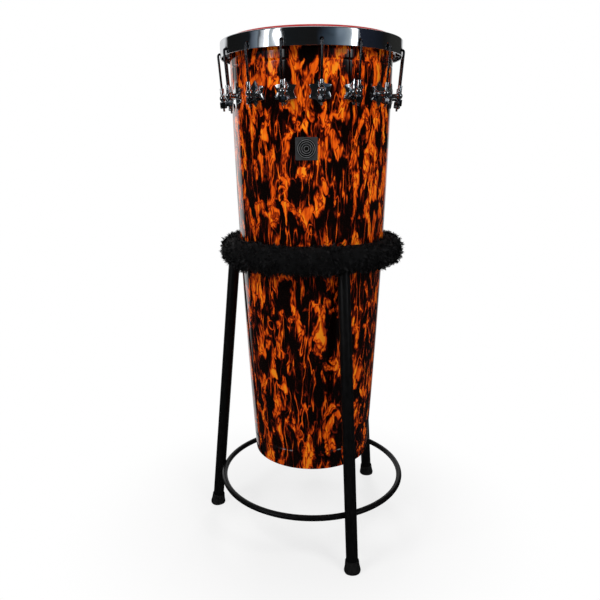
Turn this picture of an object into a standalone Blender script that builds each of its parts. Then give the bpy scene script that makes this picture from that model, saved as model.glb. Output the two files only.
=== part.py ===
"""A tall conical timbal drum held by its taper in a fur-wrapped ring on three legs.

Metres, +Z up. The drum's own axis is the parent empty "drum_axis", and the origin
is on the floor, in the middle of the whole object's footprint.
"""
import math

import bmesh
import bpy
from mathutils import Matrix, Vector

COLLECTION_NAME = "timbal_drum"
GAP = 0.0003  # left between pieces that touch

# Stand
LEG_COUNT = 3
FIRST_LEG_ANGLE = math.radians(-69.0)
LEG_DIAMETER = 0.0254
LEG_WALL = 0.0015
LEG_FLOOR_RADIUS = 0.241
RING_HEIGHT = 0.6584
RING_RADIUS = 0.1750
RING_BAR_DIAMETER = 0.012
BRACE_HEIGHT = 0.116
BRACE_BAR_DIAMETER = 0.0127
FUR_HEIGHT = 0.0526
FUR_THICKNESS = 0.0425
FUR_ROUNDING = 0.006
FUR_PLAY = 0.0004
FOOT_HEIGHT = 0.026
FOOT_SOLE_RADIUS = 0.0178
FOOT_WALL = 0.0030
FOOT_SOLE_THICKNESS = 0.006
FOOT_SOLE_EDGE = 0.004
FOOT_BULGE = 0.0008

# Shell
SHELL_HEIGHT = 0.903
SHELL_TOP_RADIUS = 0.1689
SHELL_BOTTOM_RADIUS = 0.1315
SHELL_BELLY = 0.0056
SHELL_WALL = 0.008
SEAT_ABOVE_BASE = 0.4728
EDGE_ROUNDING = 0.003
TOP_GROOVE_DROP = 0.0565
BOTTOM_GROOVE_HEIGHT = 0.0434
GROOVE_WIDTH = 0.0024
GROOVE_DEPTH = 0.0010

# Head and tension hoop
FILM_THICKNESS = 0.0007
HOOP_RADIUS = 0.1876
HOOP_WALL = 0.0025
HOOP_HEIGHT = 0.0320
HOOP_DROP = 0.0056
HOOP_LIP_WIDTH = 0.0125
FLESH_HOOP_HEIGHT = 0.008
FLESH_HOOP_PLAY = 0.0010
FILM_FLARE = 0.0028
HOOK_HOLE_DIAMETER = 0.0070
HOOK_HOLE_HEIGHT = 0.0107

# Lugs, tuning hooks and nuts
LUG_COUNT = 16
FIRST_LUG_ANGLE = math.radians(-84.2)
LUG_DROP = 0.1145
LUG_BALL_DIAMETER = 0.0140
LUG_BALL_OFFSET = 0.0184
LUG_BARREL_DIAMETER = 0.0090
LUG_BARREL_HEIGHT = 0.0128
LUG_SLEEVE_DIAMETER = 0.0088
LUG_SLEEVE_RISE = 0.0200
LUG_NECK_DIAMETER = 0.0095
STAR_POINTS = 6
STAR_RADIUS = 0.0247
STAR_WAIST_RADIUS = 0.0175
STAR_THICKNESS = 0.0034
HOOK_DIAMETER = 0.0048
HOOK_STANDOFF = 0.0018
HOOK_BEND_RADIUS = 0.0045
HOOK_TIP_RISE = 0.0050
HOOK_REACH = 0.0055
HOOK_TIP_BEND = 0.0015
ROD_TAIL = 0.0060
BORE_CLEARANCE = 0.0008
NUT_ACROSS_FLATS = 0.0125
NUT_HEIGHT = 0.0130
NUT_FLANGE_DIAMETER = 0.0150
NUT_FLANGE_THICKNESS = 0.0025
NUT_FLANGE_BEVEL = 0.0010

# Facets round a full turn
ROUND_SEGMENTS = 48
LEG_SEGMENTS = 16
BALL_SEGMENTS = 14
SMALL_SEGMENTS = 12
HOLE_SEGMENTS = 10
BAR_SEGMENTS = 8
BALL_RINGS = 9

MERGE = 0.00001

# Places that follow from the sizes above
SHELL_BASE = RING_HEIGHT - SEAT_ABOVE_BASE
SHELL_TOP = SHELL_BASE + SHELL_HEIGHT
HOOP_TOP = SHELL_TOP - HOOP_DROP
HOOP_BOTTOM = HOOP_TOP - HOOP_HEIGHT
LUG_HEIGHT = SHELL_TOP - LUG_DROP
LEG_RADIUS = LEG_DIAMETER / 2
LEG_SLOPE = (LEG_FLOOR_RADIUS - RING_RADIUS) / RING_HEIGHT
LEG_LEAN = math.atan(LEG_SLOPE)
BAR_RADIUS = RING_BAR_DIAMETER / 2


def clear_scene():
    for old in list(bpy.data.objects):
        bpy.data.objects.remove(old, do_unlink=True)


def make_collection(name):
    group = bpy.data.collections.new(name)
    bpy.context.scene.collection.children.link(group)
    return group


def make_material(name, color, roughness, metallic):
    material = bpy.data.materials.new(name)
    material.use_nodes = True
    shader = material.node_tree.nodes["Principled BSDF"]
    shader.inputs["Base Color"].default_value = (*color, 1.0)
    shader.inputs["Roughness"].default_value = roughness
    shader.inputs["Metallic"].default_value = metallic
    return material


def add_object(name, data, group, material=None):
    obj = bpy.data.objects.new(name, data)
    group.objects.link(obj)
    if material is not None:
        data.materials.clear()
        data.materials.append(material)
    return obj


def smooth(mesh, angle=35.0):
    mesh.shade_smooth()
    mesh.set_sharp_from_angle(angle=math.radians(angle))


def evaluated_mesh(obj, name):
    """The object's mesh with its modifiers applied, in its own space."""
    depsgraph = bpy.context.evaluated_depsgraph_get()
    mesh = bpy.data.meshes.new_from_object(obj.evaluated_get(depsgraph))
    mesh.name = name
    return mesh


def turned_mesh(name, profile, segments, closed, start_angle=0.0):
    """Turn an outline of (radius, height) points about Z with a Screw modifier."""
    mesh = bpy.data.meshes.new(name)
    build = bmesh.new()
    points = [build.verts.new((radius, 0.0, height)) for radius, height in profile]
    for first, second in zip(points, points[1:]):
        build.edges.new((first, second))
    if closed:
        build.edges.new((points[-1], points[0]))
    build.to_mesh(mesh)
    build.free()
    obj = add_object(name, mesh, bpy.context.scene.collection)
    screw = obj.modifiers.new("turn", "SCREW")
    screw.steps = segments
    screw.render_steps = segments
    screw.use_merge_vertices = True
    screw.merge_threshold = MERGE
    result = evaluated_mesh(obj, name)
    bpy.data.objects.remove(obj, do_unlink=True)
    bpy.data.meshes.remove(mesh)
    result.transform(Matrix.Rotation(start_angle, 4, "Z"))
    smooth(result)
    return result


def cylinder_mesh(name, radius, low, high, segments, top_radius=None):
    """A cylinder or cone along Z between two heights."""
    mesh = bpy.data.meshes.new(name)
    build = bmesh.new()
    bmesh.ops.create_cone(build, cap_ends=True, segments=segments, radius1=radius,
                          radius2=radius if top_radius is None else top_radius, depth=high - low)
    bmesh.ops.translate(build, verts=build.verts, vec=(0.0, 0.0, (low + high) / 2))
    build.to_mesh(mesh)
    build.free()
    return mesh


def combine(name, base, steps):
    """Apply Boolean steps, a list of (operation, mesh), to a base mesh and return the result."""
    scratch = bpy.context.scene.collection
    obj = add_object(name, base, scratch)
    tools = []
    for operation, mesh in steps:
        tool = add_object(name + "_tool", mesh, scratch)
        tools.append(tool)
        cut = obj.modifiers.new(operation.lower(), "BOOLEAN")
        cut.operation = operation
        cut.object = tool
        cut.solver = "EXACT"
    result = evaluated_mesh(obj, name)
    for used in tools + [obj]:
        data = used.data
        bpy.data.objects.remove(used, do_unlink=True)
        if data.users == 0:
            bpy.data.meshes.remove(data)
    tidy_mesh(result)
    smooth(result)
    return result


def tidy_mesh(mesh):
    """Join points that a Boolean left closer together than the merge distance."""
    build = bmesh.new()
    build.from_mesh(mesh)
    bmesh.ops.remove_doubles(build, verts=build.verts, dist=MERGE)
    bmesh.ops.dissolve_degenerate(build, edges=build.edges, dist=MERGE)
    build.to_mesh(mesh)
    build.free()


def shell_radius(height):
    """Outer radius of the shell at a height above the floor, with its slight belly."""
    share = (height - SHELL_BASE) / SHELL_HEIGHT
    straight = SHELL_BOTTOM_RADIUS + (SHELL_TOP_RADIUS - SHELL_BOTTOM_RADIUS) * share
    return straight + 4 * SHELL_BELLY * share * (1 - share)


def heights_between(high, low, count):
    return [high + (low - high) * step / count for step in range(count + 1)]


def groove(height):
    """Three outline points that sink a narrow groove into the shell."""
    half = GROOVE_WIDTH / 2
    return [
        (shell_radius(height + half), height + half),
        (shell_radius(height) - GROOVE_DEPTH, height),
        (shell_radius(height - half), height - half),
    ]


def shell_profile():
    top_groove = SHELL_TOP - TOP_GROOVE_DROP
    bottom_groove = SHELL_BASE + BOTTOM_GROOVE_HEIGHT
    outer = [
        (SHELL_TOP_RADIUS - EDGE_ROUNDING, SHELL_TOP),
        (SHELL_TOP_RADIUS - EDGE_ROUNDING * 0.3, SHELL_TOP - EDGE_ROUNDING * 0.3),
        (shell_radius(SHELL_TOP - EDGE_ROUNDING), SHELL_TOP - EDGE_ROUNDING),
    ]
    outer += groove(top_groove)
    middle = heights_between(top_groove, bottom_groove, 6)[1:-1]
    outer += [(shell_radius(height), height) for height in middle]
    outer += groove(bottom_groove)
    outer += [
        (shell_radius(SHELL_BASE + EDGE_ROUNDING), SHELL_BASE + EDGE_ROUNDING),
        (SHELL_BOTTOM_RADIUS - EDGE_ROUNDING * 0.7, SHELL_BASE),
    ]
    inner = [(SHELL_BOTTOM_RADIUS - SHELL_WALL, SHELL_BASE)]
    for height in heights_between(SHELL_BASE, SHELL_TOP, 4)[1:-1]:
        inner.append((shell_radius(height) - SHELL_WALL, height))
    inner.append((SHELL_TOP_RADIUS - SHELL_WALL, SHELL_TOP - EDGE_ROUNDING))
    return outer + inner


def head_profile():
    """Film over the bearing edge, running down into its flesh hoop, as one turned outline."""
    underside = SHELL_TOP + GAP
    flat_radius = SHELL_TOP_RADIUS - EDGE_ROUNDING
    hoop_top = HOOP_TOP - HOOP_WALL - GAP
    hoop_bottom = hoop_top - FLESH_HOOP_HEIGHT
    outside = HOOP_RADIUS - HOOP_WALL - FLESH_HOOP_PLAY
    collar = SHELL_TOP_RADIUS + 2 * GAP
    foot = collar + FILM_FLARE
    return [
        (0.0, underside + FILM_THICKNESS),
        (flat_radius, underside + FILM_THICKNESS),
        (collar + FILM_THICKNESS * 0.7, SHELL_TOP - EDGE_ROUNDING * 0.2),
        (collar + FILM_THICKNESS, SHELL_TOP - EDGE_ROUNDING),
        (foot + FILM_THICKNESS, hoop_top),
        (outside, hoop_top),
        (outside, hoop_bottom),
        (foot, hoop_bottom),
        (foot, hoop_top - FLESH_HOOP_HEIGHT / 2),
        (collar, SHELL_TOP - EDGE_ROUNDING),
        (collar - EDGE_ROUNDING * 0.25, SHELL_TOP - EDGE_ROUNDING * 0.15),
        (flat_radius, underside),
        (0.0, underside),
    ]


def hoop_profile():
    """Upright band whose top edge is rolled inward over the flesh hoop."""
    corner = HOOP_WALL
    return [
        (HOOP_RADIUS - HOOP_LIP_WIDTH, HOOP_TOP),
        (HOOP_RADIUS - corner, HOOP_TOP),
        (HOOP_RADIUS - corner * 0.3, HOOP_TOP - corner * 0.3),
        (HOOP_RADIUS, HOOP_TOP - corner),
        (HOOP_RADIUS, HOOP_BOTTOM),
        (HOOP_RADIUS - HOOP_WALL, HOOP_BOTTOM),
        (HOOP_RADIUS - HOOP_WALL, HOOP_TOP - HOOP_WALL),
        (HOOP_RADIUS - HOOP_LIP_WIDTH, HOOP_TOP - HOOP_WALL),
    ]


def leg_radius_at(height):
    """Distance of a leg's centre line from the stand's axis."""
    return LEG_FLOOR_RADIUS - LEG_SLOPE * height


def leg_frame(angle):
    """Frame at the leg's floor point, with Z up along the leg and X pointing outward."""
    outward = Vector((math.cos(angle), math.sin(angle), 0.0))
    turn = Matrix.Rotation(angle, 4, "Z") @ Matrix.Rotation(-LEG_LEAN, 4, "Y")
    return Matrix.Translation(outward * LEG_FLOOR_RADIUS) @ turn


def leg_angles():
    return [FIRST_LEG_ANGLE + math.tau * number / LEG_COUNT for number in range(LEG_COUNT)]


def leg_top():
    """Length along the leg from the floor to its square end under the ring bar."""
    return (RING_HEIGHT - BAR_RADIUS - GAP) / math.cos(LEG_LEAN)


def leg_mesh():
    bottom = (FOOT_SOLE_THICKNESS + GAP) / math.cos(LEG_LEAN)
    inner = LEG_RADIUS - LEG_WALL
    profile = [(LEG_RADIUS, leg_top()), (LEG_RADIUS, bottom), (inner, bottom), (inner, leg_top())]
    return turned_mesh("leg", profile, LEG_SEGMENTS, closed=True)


def foot_mesh():
    """Flared rubber foot round the leg's end, to be cut flat at the floor."""
    socket = LEG_RADIUS + GAP
    rim = socket + FOOT_WALL * 0.6
    profile = [
        (0.0, FOOT_SOLE_THICKNESS),
        (socket, FOOT_SOLE_THICKNESS),
        (socket, FOOT_HEIGHT),
        (rim, FOOT_HEIGHT),
        (rim + FOOT_BULGE, FOOT_HEIGHT * 0.5),
        (FOOT_SOLE_RADIUS, FOOT_HEIGHT * 0.25),
        (FOOT_SOLE_RADIUS - FOOT_BULGE, FOOT_SOLE_THICKNESS * 0.5),
        (FOOT_SOLE_RADIUS - FOOT_SOLE_EDGE, -FOOT_SOLE_THICKNESS * 0.5),
        (0.0, -FOOT_SOLE_THICKNESS),
    ]
    return turned_mesh("foot", profile, LEG_SEGMENTS, closed=False)


def torus_mesh(name, radius, bar_radius, height, segments, bar_segments):
    bpy.ops.mesh.primitive_torus_add(major_segments=segments, minor_segments=bar_segments,
                                     major_radius=radius, minor_radius=bar_radius,
                                     location=(0.0, 0.0, 0.0))
    obj = bpy.context.active_object
    mesh = obj.data
    mesh.name = name
    bpy.data.objects.remove(obj, do_unlink=True)
    mesh.transform(Matrix.Translation((0.0, 0.0, height)))
    smooth(mesh, 60.0)
    return mesh


def fur_profile():
    """Fat cushion section whose inner side follows the shell's taper."""
    half = FUR_HEIGHT / 2
    top = RING_HEIGHT + half
    bottom = RING_HEIGHT - half
    inner_top = shell_radius(top) + FUR_PLAY
    inner_bottom = shell_radius(bottom) + FUR_PLAY
    middle = shell_radius(RING_HEIGHT) + FUR_THICKNESS * 0.55
    swell = FUR_THICKNESS * 0.45
    bow = [(middle + swell * math.cos(math.radians(turn)),
            RING_HEIGHT + half * math.sin(math.radians(turn))) for turn in range(75, -76, -30)]
    return [(inner_top + FUR_ROUNDING, top)] + bow + [
        (inner_bottom + FUR_ROUNDING, bottom),
        (shell_radius(bottom + FUR_ROUNDING) + FUR_PLAY, bottom + FUR_ROUNDING),
        (shell_radius(top - FUR_ROUNDING) + FUR_PLAY, top - FUR_ROUNDING),
    ]


def tuner_lean():
    """Rod line in the upright plane through a lug: its lean and its radius at the hook hole."""
    top_radius = HOOP_RADIUS + HOOK_STANDOFF + HOOK_DIAMETER / 2
    top_height = HOOP_BOTTOM + HOOK_HOLE_HEIGHT - HOOK_BEND_RADIUS
    ball_radius = shell_radius(LUG_HEIGHT) + LUG_BALL_OFFSET
    lean = math.atan2(top_radius - ball_radius, top_height - LUG_HEIGHT)
    return ball_radius, top_radius, top_height, lean


def tuner_frame():
    """Frame at the ball's centre with Z along the rod, in the plane of angle zero."""
    ball_radius, _, _, lean = tuner_lean()
    return Matrix.Translation((ball_radius, 0.0, LUG_HEIGHT)) @ Matrix.Rotation(lean, 4, "Y")


def bore_radius():
    """Bore that lets the hook shift sideways a little as the hoop rises."""
    return HOOK_DIAMETER / 2 + BORE_CLEARANCE


def star_mesh(depth_low, depth_high):
    """Six-pointed plate with hollowed sides, extruded outward along X."""
    outline = []
    for point in range(STAR_POINTS):
        base = math.pi / 2 + math.tau * point / STAR_POINTS
        outline.append((STAR_RADIUS, base))
        for share in (0.25, 0.5, 0.75):
            hollow = STAR_WAIST_RADIUS + (STAR_RADIUS - STAR_WAIST_RADIUS) * (2 * abs(share - 0.5)) ** 1.5
            outline.append((hollow, base + math.tau / STAR_POINTS * share))
    build = bmesh.new()
    ring = [build.verts.new((depth_low, radius * math.cos(turn), radius * math.sin(turn)))
            for radius, turn in outline]
    face = build.faces.new(ring)
    grown = bmesh.ops.extrude_face_region(build, geom=[face])
    moved = [item for item in grown["geom"] if isinstance(item, bmesh.types.BMVert)]
    bmesh.ops.translate(build, verts=moved, vec=(depth_high - depth_low, 0.0, 0.0))
    bmesh.ops.translate(build, verts=build.verts, vec=(0.0, 0.0, LUG_HEIGHT))
    bmesh.ops.recalc_face_normals(build, faces=build.faces)
    mesh = bpy.data.meshes.new("star")
    build.to_mesh(mesh)
    build.free()
    return mesh


def lug_mesh():
    """Star plate bent to the shell, with a neck, a ball, and a drilled barrel and sleeve for the rod."""
    high = LUG_HEIGHT + STAR_RADIUS * 1.2
    low = LUG_HEIGHT - STAR_RADIUS * 1.2
    seat = [(shell_radius(high) + GAP + STAR_THICKNESS, high),
            (shell_radius(low) + GAP + STAR_THICKNESS, low),
            (shell_radius(low) + GAP, low),
            (shell_radius(high) + GAP, high)]
    band = turned_mesh("band", seat, ROUND_SEGMENTS, closed=True)
    wall = shell_radius(LUG_HEIGHT)
    star = star_mesh(wall * 0.9, wall * 1.1)
    ball_radius, _, _, _ = tuner_lean()
    reach = ball_radius - wall - GAP - STAR_THICKNESS / 2
    neck = cylinder_mesh("neck", LUG_NECK_DIAMETER * 0.75, -reach, 0.0, SMALL_SEGMENTS, LUG_NECK_DIAMETER / 2)
    neck.transform(Matrix.Translation((ball_radius, 0.0, LUG_HEIGHT)) @ Matrix.Rotation(math.pi / 2, 4, "Y"))
    ball = bpy.data.meshes.new("ball")
    build = bmesh.new()
    bmesh.ops.create_uvsphere(build, u_segments=BALL_SEGMENTS, v_segments=BALL_RINGS,
                              radius=LUG_BALL_DIAMETER / 2)
    build.to_mesh(ball)
    build.free()
    ball.transform(tuner_frame())
    half = LUG_BARREL_HEIGHT / 2
    barrel = cylinder_mesh("barrel", LUG_BARREL_DIAMETER / 2, -half, 0.0, SMALL_SEGMENTS)
    barrel.transform(tuner_frame())
    sleeve = cylinder_mesh("sleeve", LUG_SLEEVE_DIAMETER / 2, 0.0, LUG_SLEEVE_RISE, BALL_SEGMENTS)
    sleeve.transform(tuner_frame())
    bore = cylinder_mesh("bore", bore_radius(), -LUG_BARREL_HEIGHT, LUG_SLEEVE_RISE * 1.5, BAR_SEGMENTS)
    bore.transform(tuner_frame())
    return combine("lug", star, [("INTERSECT", band), ("UNION", neck), ("UNION", ball),
                                 ("UNION", barrel), ("UNION", sleeve), ("DIFFERENCE", bore)])


def nut_mesh():
    """Flanged hexagon nut in the rod's own frame, its flange up against the barrel."""
    top = -LUG_BARREL_HEIGHT / 2 - GAP
    flange_low = top - NUT_FLANGE_THICKNESS
    corner = NUT_ACROSS_FLATS / 2 / math.cos(math.pi / 6)
    flange = cylinder_mesh("flange", NUT_FLANGE_DIAMETER / 2, flange_low, top, SMALL_SEGMENTS,
                           NUT_FLANGE_DIAMETER / 2 - NUT_FLANGE_BEVEL)
    hexagon = cylinder_mesh("hexagon", corner, top - NUT_HEIGHT, flange_low + NUT_FLANGE_THICKNESS / 2, 6)
    bore = cylinder_mesh("bore", bore_radius(), top - 2 * NUT_HEIGHT, top + NUT_HEIGHT, BAR_SEGMENTS)
    return combine("nut", flange, [("UNION", hexagon), ("DIFFERENCE", bore)])


def hook_points():
    """Rod from its tail below the nut, up beside the hoop and over into the hoop's hole."""
    ball_radius, top_radius, top_height, lean = tuner_lean()
    tail = LUG_BARREL_HEIGHT / 2 + GAP + NUT_HEIGHT + ROD_TAIL
    start = (ball_radius - tail * math.sin(lean), LUG_HEIGHT - tail * math.cos(lean))
    points = [start, (ball_radius, LUG_HEIGHT)]
    drop = (HOOK_HOLE_DIAMETER - HOOK_DIAMETER) / 2 - GAP
    level = HOOP_BOTTOM + HOOK_HOLE_HEIGHT - drop
    bend = HOOK_BEND_RADIUS
    centre = (top_radius - bend, level - bend)
    for turn in range(0, 91, 30):
        angle = math.radians(turn)
        points.append((centre[0] + bend * math.cos(angle), centre[1] + bend * math.sin(angle)))
    inside = HOOP_RADIUS - HOOP_WALL - HOOK_REACH
    points.append((inside + HOOK_TIP_BEND, level))
    points.append((inside, level + HOOK_TIP_BEND))
    points.append((inside, level + HOOK_TIP_RISE))
    return points


def hook_curve():
    curve = bpy.data.curves.new("hook", "CURVE")
    curve.dimensions = "3D"
    curve.bevel_depth = HOOK_DIAMETER / 2
    curve.bevel_resolution = 2
    curve.use_fill_caps = True
    points = hook_points()
    spline = curve.splines.new("POLY")
    spline.points.add(len(points) - 1)
    for target, (radius, height) in zip(spline.points, points):
        target.co = (radius, 0.0, height, 1.0)
    return curve


def hoop_mesh():
    """Tension hoop with one hook hole over each lug."""
    hoop = turned_mesh("hoop", hoop_profile(), ROUND_SEGMENTS, closed=True, start_angle=FIRST_LUG_ANGLE)
    drill = bmesh.new()
    hole = cylinder_mesh("hole", HOOK_HOLE_DIAMETER / 2, HOOP_RADIUS - 3 * HOOP_WALL,
                         HOOP_RADIUS + 2 * HOOP_WALL, HOLE_SEGMENTS)
    for angle in lug_angles():
        copy = hole.copy()
        level = HOOP_BOTTOM + HOOK_HOLE_HEIGHT
        copy.transform(Matrix.Rotation(angle, 4, "Z") @ Matrix.Translation((0.0, 0.0, level))
                       @ Matrix.Rotation(math.pi / 2, 4, "Y"))
        drill.from_mesh(copy)
        bpy.data.meshes.remove(copy)
    holes = bpy.data.meshes.new("holes")
    drill.to_mesh(holes)
    drill.free()
    bpy.data.meshes.remove(hole)
    return combine("tension_hoop", hoop, [("DIFFERENCE", holes)])


def fur_mesh():
    """Fur sleeve with a channel for the ring bar and a socket for the end of each leg."""
    sleeve = turned_mesh("fur", fur_profile(), ROUND_SEGMENTS, closed=True, start_angle=FIRST_LUG_ANGLE)
    channel = torus_mesh("channel", RING_RADIUS, BAR_RADIUS + 2 * GAP, RING_HEIGHT, ROUND_SEGMENTS,
                         BAR_SEGMENTS)
    channel.transform(Matrix.Rotation(FIRST_LUG_ANGLE, 4, "Z"))
    steps = [("DIFFERENCE", channel)]
    for angle in leg_angles():
        socket = cylinder_mesh("socket", LEG_RADIUS + 2 * GAP, leg_top() - FUR_HEIGHT, leg_top() + GAP,
                               LEG_SEGMENTS)
        socket.transform(leg_frame(angle))
        steps.append(("DIFFERENCE", socket))
    return combine("fur_sleeve", sleeve, steps)


def lug_angles():
    return [FIRST_LUG_ANGLE + math.tau * number / LUG_COUNT for number in range(LUG_COUNT)]


def build_stand(group, axis, finishes):
    leg = leg_mesh()
    foot = foot_mesh()
    floor = cylinder_mesh("floor", LEG_FLOOR_RADIUS * 2, -FOOT_HEIGHT, 0.0, 4)
    for number, angle in enumerate(leg_angles(), start=1):
        tube = add_object(f"leg_{number}", leg, group, finishes["frame"])
        tube.matrix_world = leg_frame(angle)
        rubber = foot.copy()
        rubber.transform(leg_frame(angle))
        flat = combine(f"foot_{number}", rubber, [("DIFFERENCE", floor.copy())])
        pad = add_object(f"foot_{number}", flat, group, finishes["rubber"])
        for piece in (tube, pad):
            piece.parent = axis
    bar = torus_mesh("ring_bar", RING_RADIUS, BAR_RADIUS, RING_HEIGHT, ROUND_SEGMENTS, BAR_SEGMENTS)
    bar.transform(Matrix.Rotation(FIRST_LUG_ANGLE, 4, "Z"))
    brace_bar = BRACE_BAR_DIAMETER / 2
    brace_radius = leg_radius_at(BRACE_HEIGHT) - (LEG_RADIUS + brace_bar) / math.cos(LEG_LEAN) - GAP
    brace = torus_mesh("brace", brace_radius, brace_bar, BRACE_HEIGHT, ROUND_SEGMENTS, BAR_SEGMENTS)
    brace.transform(Matrix.Rotation(FIRST_LUG_ANGLE, 4, "Z"))
    for name, mesh, finish in (("support_ring", bar, "frame"), ("brace_ring", brace, "frame"),
                               ("fur_sleeve", fur_mesh(), "fur")):
        add_object(name, mesh, group, finishes[finish]).parent = axis


def build_drum(group, axis, finishes):
    shell = turned_mesh("shell", shell_profile(), ROUND_SEGMENTS, closed=True, start_angle=FIRST_LUG_ANGLE)
    head = turned_mesh("drum_head", head_profile(), ROUND_SEGMENTS, closed=False,
                       start_angle=FIRST_LUG_ANGLE)
    for name, mesh, finish in (("shell", shell, "lacquer"), ("drum_head", head, "film"),
                               ("tension_hoop", hoop_mesh(), "chrome")):
        add_object(name, mesh, group, finishes[finish]).parent = axis
    lug = lug_mesh()
    hook = hook_curve()
    nut = nut_mesh()
    for number, angle in enumerate(lug_angles(), start=1):
        turn = Matrix.Rotation(angle, 4, "Z")
        for name, data, frame, finish in (("lug", lug, turn, "chrome"), ("hook", hook, turn, "rod"),
                                          ("nut", nut, turn @ tuner_frame(), "chrome")):
            piece = add_object(f"{name}_{number:02d}", data, group, finishes[finish])
            piece.matrix_world = frame
            piece.parent = axis


def centre_on_footprint(group, axis):
    """Move everything so that the origin is under the middle of the bounding box."""
    bpy.context.view_layer.update()
    depsgraph = bpy.context.evaluated_depsgraph_get()
    low = Vector((math.inf, math.inf))
    high = Vector((-math.inf, -math.inf))
    for obj in group.objects:
        if obj.type == "EMPTY":
            continue
        shape = obj.evaluated_get(depsgraph)
        mesh = shape.to_mesh()
        for vertex in mesh.vertices:
            place = shape.matrix_world @ vertex.co
            low = Vector((min(low.x, place.x), min(low.y, place.y)))
            high = Vector((max(high.x, place.x), max(high.y, place.y)))
        shape.to_mesh_clear()
    middle = (low + high) / 2
    axis.location = (-middle.x, -middle.y, 0.0)


def main():
    clear_scene()
    group = make_collection(COLLECTION_NAME)
    finishes = {
        "frame": make_material("painted_tube", (0.012, 0.012, 0.013), 0.42, 0.0),
        "rubber": make_material("black_rubber", (0.015, 0.015, 0.015), 0.8, 0.0),
        "fur": make_material("black_fur", (0.012, 0.012, 0.014), 0.95, 0.0),
        "lacquer": make_material("flame_lacquer", (0.28, 0.05, 0.01), 0.08, 0.0),
        "film": make_material("red_film", (0.42, 0.02, 0.02), 0.35, 0.0),
        "chrome": make_material("bright_chrome", (0.80, 0.80, 0.82), 0.06, 1.0),
        "rod": make_material("dark_chrome", (0.45, 0.45, 0.47), 0.15, 1.0),
    }
    axis = bpy.data.objects.new("drum_axis", None)
    group.objects.link(axis)
    build_stand(group, axis, finishes)
    build_drum(group, axis, finishes)
    centre_on_footprint(group, axis)


main()
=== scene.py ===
"""Looks of the timbal drum: materials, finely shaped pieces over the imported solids, light and camera."""

import math
import random

import bmesh
import bpy
from mathutils import Matrix, Vector
from mathutils import noise as pattern


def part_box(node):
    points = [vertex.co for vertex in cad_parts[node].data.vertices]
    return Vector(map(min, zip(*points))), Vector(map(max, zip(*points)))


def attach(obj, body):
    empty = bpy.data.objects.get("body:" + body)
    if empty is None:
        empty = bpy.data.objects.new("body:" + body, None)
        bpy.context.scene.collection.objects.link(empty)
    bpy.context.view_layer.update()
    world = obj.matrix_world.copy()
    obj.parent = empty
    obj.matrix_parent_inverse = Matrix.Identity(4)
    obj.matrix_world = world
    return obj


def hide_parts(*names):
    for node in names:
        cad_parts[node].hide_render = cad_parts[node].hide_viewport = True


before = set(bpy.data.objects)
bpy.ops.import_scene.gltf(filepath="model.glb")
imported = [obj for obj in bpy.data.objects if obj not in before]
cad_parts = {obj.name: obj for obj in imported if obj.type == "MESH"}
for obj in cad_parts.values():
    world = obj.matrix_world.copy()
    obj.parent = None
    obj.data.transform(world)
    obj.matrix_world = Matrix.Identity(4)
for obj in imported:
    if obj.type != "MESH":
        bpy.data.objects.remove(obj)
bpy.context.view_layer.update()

# Sizes in metres, as the solids have them. Angles are seen from above, from +X towards +Y.

LUGS = 16
LEGS = 3
FIRST_LUG = math.radians(-84.2)
FIRST_LEG = math.radians(-69.0)
GAP = 0.0003

# Shell: a cone with a slight belly and two turned grooves
shell_low, shell_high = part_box("shell")
AXIS = Vector(((shell_low.x + shell_high.x) / 2, (shell_low.y + shell_high.y) / 2, 0.0))
ON_AXIS = Matrix.Translation(AXIS)
SHELL_BASE = shell_low.z
SHELL_TOP = shell_high.z
SHELL_HEIGHT = SHELL_TOP - SHELL_BASE
BOTTOM_RADIUS = 0.1315
TOP_RADIUS = 0.1689
BELLY = 0.0056
WALL = 0.008
TOP_ROUNDING = 0.003
BOTTOM_ROUNDING = 0.0021
GROOVE_LEVELS = (SHELL_TOP - 0.0565, SHELL_BASE + 0.0434)
GROOVE_WIDTH = 0.0030
GROOVE_DEPTH = 0.0011
GROOVE_LIP = 0.0007
GROOVE_RUN_OUT = 0.0008

# Head: film and the flesh hoop that clamps it
FILM = 0.0007
FLESH_HEIGHT = 0.008
FLESH_PLAY = 0.0010
COLLAR_FLARE = 0.0028

# Tension hoop and its hook holes
hoop_low, hoop_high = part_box("tension_hoop")
HOOP_LOW = hoop_low.z
HOOP_TOP = hoop_high.z
HOOP_RADIUS = 0.1876
HOOP_WALL = 0.0025
HOOP_LIP = 0.0125
HOOP_CORNER = 0.0022
HOLE_LEVEL = HOOP_LOW + 0.0107
HOLE_RADIUS = 0.0035
COUNTERSINK = 0.0007

# Lugs: star plate, neck, ball with a barrel below and a sleeve above
LUG_LEVEL = SHELL_TOP - 0.1145
STAR_TIP = 0.0247
STAR_BLUNT = 0.0244
STAR_HOLLOW = 0.0172
NECK_ROUND = 0.0185
BALL_OFFSET = 0.0184
BALL_RADIUS = 0.0070
BARREL_RADIUS = 0.0045
BARREL_HEIGHT = 0.0128
SLEEVE_RADIUS = 0.0044
SLEEVE_RISE = 0.0200
BORE_RADIUS = 0.0032

# Hooks: rods that lean in to the lugs, with a bent top
ROD_RADIUS = 0.0024
ROD_STANDOFF = 0.0018
HOOK_BEND = 0.0045
HOOK_TURN_UP = 0.0026
HOOK_END_RISE = 0.0050
HOOK_END_BEVEL = 0.0006
HOOK_END_INSET = 0.0055
THREAD_ABOVE_BALL = 0.0205
THREAD_PITCH = 0.0010
TAIL_BELOW_NUT = 0.0060

# Nuts
NUT_HEIGHT = 0.0130
NUT_ACROSS = 0.0125
FLANGE_RADIUS = 0.0075
FLANGE_HEIGHT = 0.0022
FLANGE_TAPER = 0.0005

# Plate on the front
PLATE_AZIMUTH = math.radians(-93.2)
PLATE_LEVEL = SHELL_BASE + 0.6861
PLATE_HALF = 0.0213
PLATE_CORNER = 0.0016

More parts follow.
